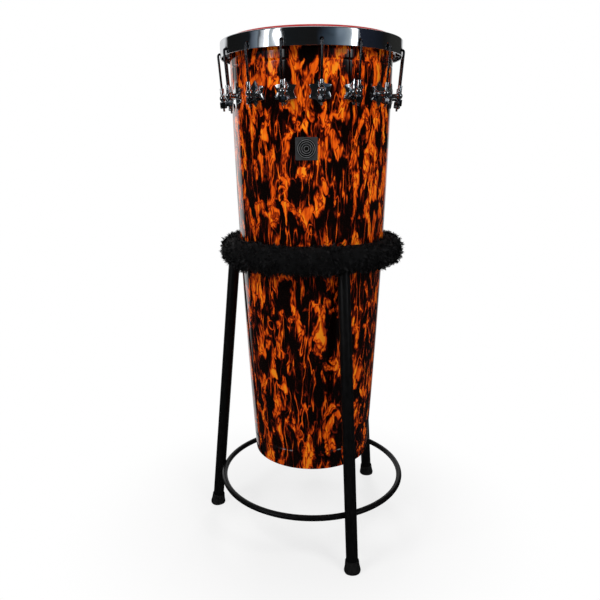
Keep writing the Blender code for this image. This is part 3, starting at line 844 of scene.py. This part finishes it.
def make_legs():
    top = (RING_LEVEL - RING_BAR - GAP) / math.cos(LEG_LEAN)
    low = (FOOT_SOLE + GAP) / math.cos(LEG_LEAN)
    inside = LEG_RADIUS - LEG_WALL
    leg_outline = fillet([(LEG_RADIUS, top), (LEG_RADIUS, low), (inside, low), (inside, top)],
                         radius=0.0004, steps=2)
    for number in range(LEGS):
        angle = FIRST_LEG + math.tau * number / LEGS
        foot_place = AXIS + Vector((math.cos(angle), math.sin(angle), 0.0)) * LEG_FLOOR_RADIUS
        placed = (Matrix.Translation(foot_place) @ Matrix.Rotation(angle, 4, "Z")
                  @ Matrix.Rotation(-LEG_LEAN, 4, "Y"))
        build = bmesh.new()
        lathe(build, leg_outline, segments=40)
        leg = to_object(f"leg_painted_{number + 1}", build, ["paint"], matrix=placed)
        dress(leg, "stand", "painted_tube", f"leg_{number + 1}")
        build = bmesh.new()
        lathe_at(build, placed, FOOT_OUTLINE, segments=40, closed=False)
        for vertex in build.verts:
            vertex.co.z = max(vertex.co.z, 0.0)
        foot = to_object(f"foot_moulded_{number + 1}", build, ["rubber"], matrix=Matrix.Identity(4))
        dress(foot, "stand", "black_rubber", f"foot_{number + 1}")


def make_bar_ring(node, radius, bar, level, sides, segments):
    build = bmesh.new()
    lathe(build, torus_profile(radius, bar, level, sides), segments)
    dress(to_object(node + "_painted", build, ["paint"], 60.0), "stand", "painted_tube", node)


def make_brace_ring():
    """Ring that touches the legs from inside."""
    inside_leg = (LEG_RADIUS + BRACE_BAR) / math.cos(LEG_LEAN) + GAP
    radius = LEG_FLOOR_RADIUS - LEG_SLOPE * BRACE_LEVEL - inside_leg
    make_bar_ring("brace_ring", radius, BRACE_BAR, BRACE_LEVEL, sides=18, segments=160)


# Fur

def fur_outline():
    """Section of the fur sleeve under its hairs: top, outer arc, bottom, and two points at the shell."""
    middle = shell_radius(RING_LEVEL) + FUR_THICK * FUR_MIDDLE_SHARE
    swell = FUR_THICK * (1 - FUR_MIDDLE_SHARE) - FUR_PILE
    low = RING_LEVEL - FUR_HALF
    top = RING_LEVEL + FUR_HALF
    corner, clear, rounded = 0.004, 0.0006, 0.005
    return [(shell_radius(top) + corner, top)] + arc((middle, RING_LEVEL), (swell, FUR_HALF), 80, -80, 16) + [
        (shell_radius(low) + corner, low),
        (shell_radius(low + rounded) + clear, low + rounded),
        (shell_radius(top - rounded) + clear, top - rounded),
    ]


def lumps(place):
    """How far the pile swells or sinks at a place on the sleeve."""
    return LUMP_HEIGHT * pattern.noise(place * LUMPS_PER_METRE)


def add_hair(build, root, tip, bow, width, material):
    """One hair as a narrow bent strip that ends in a point."""
    way = tip - root
    across = way.cross(bow).normalized() * width
    middle = root + way * 0.5 + bow
    low_left, low_right, left, right, point = add_ring(
        build, (root - across, root + across, middle - across * 0.8, middle + across * 0.8, tip))
    for corners in ((low_left, low_right, right, left), (left, right, point)):
        build.faces.new(corners).material_index = material


def add_clump(build, chance, outline, lengths):
    """A few hairs that share a root on the outline and lean the same way."""
    spot = chance.uniform(0.0, sum(lengths))
    for index, length in enumerate(lengths):
        if spot <= length:
            break
        spot -= length
    (r0, z0), (r1, z1) = outline[index], outline[index + 1]
    share = spot / lengths[index]
    turn = chance.uniform(0.0, math.tau)
    out = Vector((math.cos(turn), math.sin(turn), 0.0))
    side = Vector((-math.sin(turn), math.cos(turn), 0.0))
    facing = Vector((z0 - z1, r1 - r0)).normalized()
    normal = out * facing.x + Vector((0.0, 0.0, facing.y))
    along = normal.cross(side)
    root = out * (r0 + (r1 - r0) * share) + Vector((0.0, 0.0, z0 + (z1 - z0) * share))
    root += normal * (lumps(root) - HAIR_ROOT_DEPTH)
    lie = side * chance.uniform(-1.0, 1.0) + along * chance.uniform(-1.0, 1.0)
    lie.z -= HAIR_DROOP
    tip = root + (normal + lie * HAIR_LIE).normalized() * chance.uniform(*HAIR_LENGTH)
    shade = 1 if chance.random() < PALE_CLUMPS else 0
    for _ in range(HAIRS_IN_CLUMP):
        start = root + side * chance.uniform(-HAIR_ROOT_SPREAD, HAIR_ROOT_SPREAD)
        start += along * chance.uniform(-HAIR_ROOT_SPREAD, HAIR_ROOT_SPREAD)
        end = tip + Vector([chance.uniform(-HAIR_TIP_SPREAD, HAIR_TIP_SPREAD) for _ in range(3)])
        bow = normal * chance.uniform(*HAIR_BOW)
        add_hair(build, start, end, bow, chance.uniform(*HAIR_WIDTH), shade)


def make_fur():
    chance = random.Random(7)
    build = bmesh.new()
    outline = fur_outline()
    heart = shell_radius(RING_LEVEL) + FUR_THICK * FUR_HEART_SHARE
    for ring in lathe(build, outline, segments=180)[1:-3]:
        for vertex in ring:
            centre = Vector((vertex.co.x, vertex.co.y, 0.0)).normalized() * heart + Vector((0, 0, RING_LEVEL))
            vertex.co += (vertex.co - centre).normalized() * lumps(vertex.co)
    haired = outline[:-2]
    lengths = [math.dist(here, there) for here, there in zip(haired, haired[1:])]
    for _ in range(FUR_CLUMPS):
        add_clump(build, chance, haired, lengths)
    mesh = bpy.data.meshes.new("fur_tufts")
    build.to_mesh(mesh)
    build.free()
    mesh.materials.append(LOOKS["fur"])
    mesh.materials.append(LOOKS["fur_tip"])
    mesh.shade_smooth()
    fur = add_object("fur_tufts", mesh, ON_AXIS)
    dress(fur, "stand", "black_fur", "fur_sleeve")


# Studio

# What shiny things see round them, in degrees from the front towards +X: first how bright the backdrop
# is low down, then the colours of the softboxes above it
BACKDROP = [(-180, 0.70), (-150, 0.78), (-136, 0.84), (-126, 0.0), (148, 0.0), (160, 0.84)]
SOFTBOXES = [
    (-100, (0.0, 0.0, 0.0)),
    (-82, (0.000, 0.002, 0.004)),
    (-77, (0.08, 0.10, 0.13)),
    (-68, (0.20, 0.24, 0.28)),
    (-65, (0.008, 0.010, 0.014)),
    (-62, (0.60, 0.64, 0.68)),
    (-56, (0.97, 0.98, 1.0)),
    (-52, (0.90, 0.92, 0.95)),
    (-50, (0.40, 0.45, 0.48)),
    (-46, (0.50, 0.55, 0.58)),
    (-43, (0.98, 0.99, 1.0)),
    (-38, (0.98, 0.99, 1.0)),
    (-36, (0.000, 0.002, 0.003)),
    (8, (0.0, 0.0, 0.0)),
    (16, (0.012, 0.020, 0.032)),
    (28, (0.05, 0.075, 0.10)),
    (36, (0.18, 0.23, 0.28)),
    (46, (0.34, 0.40, 0.44)),
    (52, (0.96, 0.98, 1.0)),
    (58, (0.92, 0.95, 1.0)),
    (61, (0.006, 0.010, 0.022)),
    (90, (0.0, 0.002, 0.007)),
    (100, (0.0, 0.0, 0.0)),
    (115, (0.014, 0.014, 0.012)),
    (150, (0.018, 0.018, 0.016)),
]

# Three soft lamps that mirrors leave out, and a strip at the left that they show
SOFT_LAMP = {"level": 1.75, "distance": 1.40, "width": 0.60, "height": 0.60}
LAMPS = {
    "lamp_left": {**SOFT_LAMP, "azimuth": -50.0, "power": 14.5},
    "lamp_right": {**SOFT_LAMP, "azimuth": 42.0, "power": 14.5},
    "lamp_back": {**SOFT_LAMP, "azimuth": 180.0, "power": 11.0},
    "strip_left": {"level": 0.55, "distance": 2.0, "width": 0.90, "height": 1.3, "azimuth": -138.0,
                   "power": 2.0, "mirrored": True},
}
LAMP_AIM = 0.9

CAMERA_PLACE = AXIS + Vector((0.0, -1.3569, 0.8686))
CAMERA_PITCH, CAMERA_YAW, CAMERA_ROLL = 0.2390, -0.0192, -0.0054
CAMERA_LENS = 36.82


def around_ramp(tree, vector, stops):
    """Colour by compass direction, read from a vector's X and Y."""
    parts = split_xyz(tree, vector)
    azimuth = math_node(tree, "ARCTAN2", parts["X"], product(tree, parts["Y"], -1.0))
    around = linear(tree, azimuth, gain=1.0 / math.tau, offset=0.5)
    return ramp(tree, around, [(degrees / 360.0 + 0.5, color) for degrees, color in stops])


def backdrop(tree, vector):
    return around_ramp(tree, vector, [(degrees, (level, level, level)) for degrees, level in BACKDROP])


def span(tree, value, low, high, to_low, to_high):
    """Pass smoothly from one level to another while a value goes from low to high."""
    node = add_node(tree, "ShaderNodeMapRange", interpolation_type="SMOOTHSTEP")
    set_inputs(node, From_Min=low, From_Max=high, To_Min=to_low, To_Max=to_high)
    tree.links.new(value, node.inputs["Value"])
    return node.outputs["Result"]


def glow(tree, kind, strength, color=None):
    node = add_node(tree, kind)
    if isinstance(strength, float):
        node.inputs["Strength"].default_value = strength
    else:
        tree.links.new(strength, node.inputs["Strength"])
    if color is None:
        node.inputs["Color"].default_value = (1.0, 1.0, 1.0, 1.0)
    else:
        tree.links.new(color, node.inputs["Color"])
    return node.outputs[0]


def blend(tree, factor, first, second):
    node = add_node(tree, "ShaderNodeMixShader")
    for slot, value in zip(node.inputs, (factor, first, second)):
        tree.links.new(value, slot)
    return node.outputs[0]


def make_floor():
    """Pale floor that keeps the drum's shadow and fades to white. To mirrors it glows with the backdrop's
    levels as a painted reflection, with painted shade near the drum.
    """
    reach = 14.0
    mesh = bpy.data.meshes.new("floor")
    mesh.from_pydata([(-reach, -reach, 0), (reach, -reach, 0), (reach, reach, 0), (-reach, reach, 0)], [],
                     [(0, 1, 2, 3)])
    material, tree, shader = new_material("pale_floor")
    set_inputs(shader, Base_Color=(0.86, 0.86, 0.86, 1.0), Roughness=1.0, Specular_IOR_Level=0.0)
    coords = add_node(tree, "ShaderNodeTexCoord").outputs["Object"]
    length = add_node(tree, "ShaderNodeVectorMath", operation="LENGTH")
    tree.links.new(coords, length.inputs[0])
    away = length.outputs["Value"]
    path = add_node(tree, "ShaderNodeLightPath")
    fading = span(tree, away, low=0.15, high=0.60, to_low=0.72, to_high=1.0)
    seen = product(tree, fading, path.outputs["Is Camera Ray"])
    white = blend(tree, seen, shader.outputs[0], glow(tree, "ShaderNodeEmission", 1.0))
    # Painted shade: what mirrors see of the floor darkens towards the drum, as if in its shadow
    painted_shade_near_drum = span(tree, away, low=0.15, high=0.45, to_low=0.02, to_high=1.0)
    level = product(tree, backdrop(tree, coords), painted_shade_near_drum)
    # The floor glows for mirrors though it is no lamp: a painted reflection of the backdrop
    mirrored = glow(tree, "ShaderNodeEmission", linear(tree, level, gain=0.8, offset=0.02))
    surface = blend(tree, path.outputs["Is Glossy Ray"], white, mirrored)
    tree.links.new(surface, tree.nodes["Material Output"].inputs["Surface"])
    mesh.materials.append(material)
    add_object("floor", mesh, Matrix.Identity(4))


def make_world():
    """White to the camera, an even fill for the colours, and a dark room with softboxes for shiny things."""
    world = bpy.data.worlds.new("studio")
    bpy.context.scene.world = world
    world.use_nodes = True
    tree = world.node_tree
    tree.nodes.clear()
    coords = add_node(tree, "ShaderNodeTexCoord").outputs["Generated"]
    height = split_xyz(tree, coords)["Z"]
    boxes = around_ramp(tree, warp(tree, coords, scale=3.0, reach=0.16), SOFTBOXES)
    from_low = span(tree, height, low=0.07, high=0.13, to_low=0.0, to_high=1.0)
    to_top = span(tree, height, low=0.50, high=0.62, to_low=1.0, to_high=0.0)
    hot = span(tree, boxes, low=0.80, high=1.0, to_low=1.0, to_high=4.0)
    hot = product(tree, hot, product(tree, from_low, to_top))
    ceiling = span(tree, height, low=0.80, high=0.97, to_low=0.009, to_high=0.30)
    level = math_node(tree, "ADD", backdrop(tree, coords), ceiling)
    room = add_node(tree, "ShaderNodeAddShader")
    tree.links.new(glow(tree, "ShaderNodeBackground", hot, boxes), room.inputs[0])
    tree.links.new(glow(tree, "ShaderNodeBackground", level), room.inputs[1])
    path = add_node(tree, "ShaderNodeLightPath")
    fill = glow(tree, "ShaderNodeBackground", 0.30)
    lit = blend(tree, path.outputs["Is Glossy Ray"], fill, room.outputs[0])
    seen = blend(tree, path.outputs["Is Camera Ray"], lit, glow(tree, "ShaderNodeBackground", 1.0))
    out = add_node(tree, "ShaderNodeOutputWorld")
    tree.links.new(seen, out.inputs["Surface"])


def add_lamp(name, azimuth, level, distance, width, height, power, mirrored=False):
    data = bpy.data.lights.new(name, "AREA")
    data.shape = "RECTANGLE"
    data.size = width
    data.size_y = height
    data.energy = power
    angle = math.radians(azimuth)
    place = AXIS + Vector((math.sin(angle) * distance, -math.cos(angle) * distance, level))
    aim = AXIS + Vector((0.0, 0.0, LAMP_AIM))
    facing = (aim - place).to_track_quat("-Z", "Y").to_matrix().to_4x4()
    lamp = add_object(name, data, Matrix.Translation(place) @ facing)
    lamp.visible_glossy = mirrored
    lamp.visible_camera = False


def make_camera():
    pitch, yaw, roll = CAMERA_PITCH, CAMERA_YAW, CAMERA_ROLL
    forward = Vector((math.sin(yaw) * math.cos(pitch), math.cos(yaw) * math.cos(pitch), -math.sin(pitch)))
    right = Vector((math.cos(yaw), -math.sin(yaw), 0.0))
    up = right.cross(forward)
    right_rolled = right * math.cos(roll) + up * math.sin(roll)
    up_rolled = up * math.cos(roll) - right * math.sin(roll)
    turn = Matrix((right_rolled, up_rolled, -forward)).transposed()
    data = bpy.data.cameras.new("camera")
    data.sensor_width = 36.0
    data.lens = CAMERA_LENS
    bpy.context.scene.camera = add_object("camera", data, Matrix.Translation(CAMERA_PLACE) @ turn.to_4x4())


make_shell()
make_head()
make_hoop()
make_tuners()
make_plate()
make_legs()
make_brace_ring()
make_fur()
make_bar_ring("support_ring", RING_RADIUS, RING_BAR, RING_LEVEL, sides=16, segments=128)
make_floor()
make_world()
for lamp_name, settings in LAMPS.items():
    add_lamp(lamp_name, **settings)
make_camera()
bpy.context.scene.view_settings.view_transform = "Standard"
